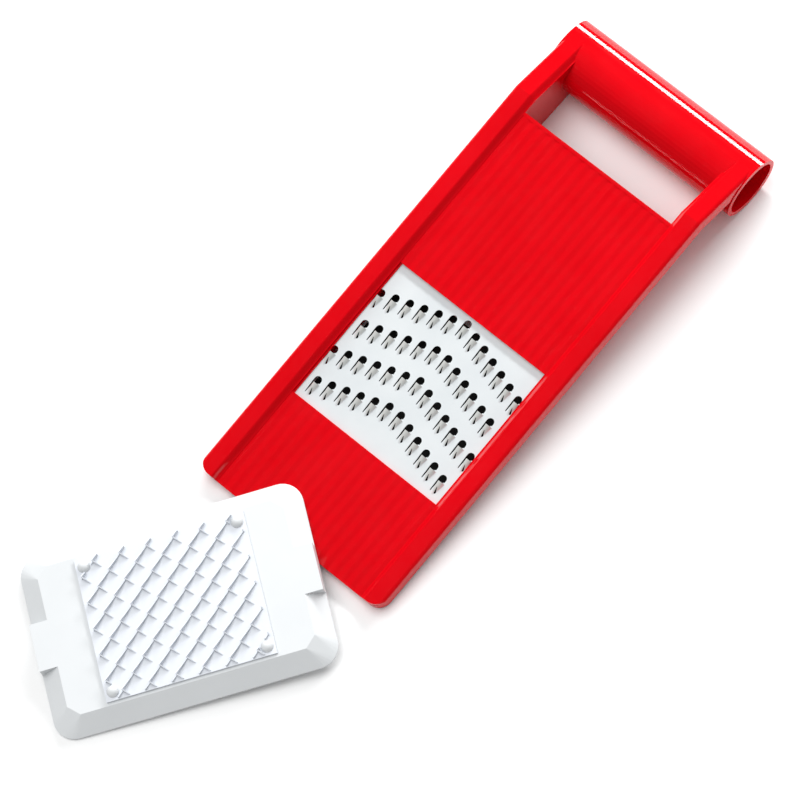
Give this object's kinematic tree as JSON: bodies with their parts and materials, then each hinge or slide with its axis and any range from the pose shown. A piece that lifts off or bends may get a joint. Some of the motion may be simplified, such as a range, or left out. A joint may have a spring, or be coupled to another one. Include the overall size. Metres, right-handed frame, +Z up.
{
  "type": "julienne grater",
  "caption": "Flat hand grater with a ribbed runway, a steel plate of raised julienne teeth, a hollow roll handle and a loose food holder set with a grid of fins.",
  "frame": {"origin": "On the table, below the middle of the box round the grater and the holder together.", "axes": "+Z is up from the table. +Y runs along the grater from its front edge to its handle. +X runs across the grater, to the right when the handle is at the far end."},
  "size_m": [0.1664, 0.4701, 0.0324],
  "materials": {
    "frame_plastic": "glossy red injection-moulded plastic",
    "blade_steel": "satin stainless sheet, punched",
    "holder_plastic": "white moulded plastic, soft gloss",
    "spike_plastic": "white moulded plastic, smooth",
    "pin_plastic": "white moulded plastic, smooth"
  },
  "bodies": {
    "grater": {"grater_frame": "frame_plastic", "blade_plate": "blade_steel"},
    "food_holder": {"holder_tray": "holder_plastic", "spike_plate": "spike_plastic", "spike_plate_pins": "pin_plastic"}
  },
  "joints": [
    {"name": "holder_lift", "type": "slide", "parent": "grater", "child": "food_holder", "axis": [0, 0, 1], "range_m": [0, 0.12]}
  ]
}
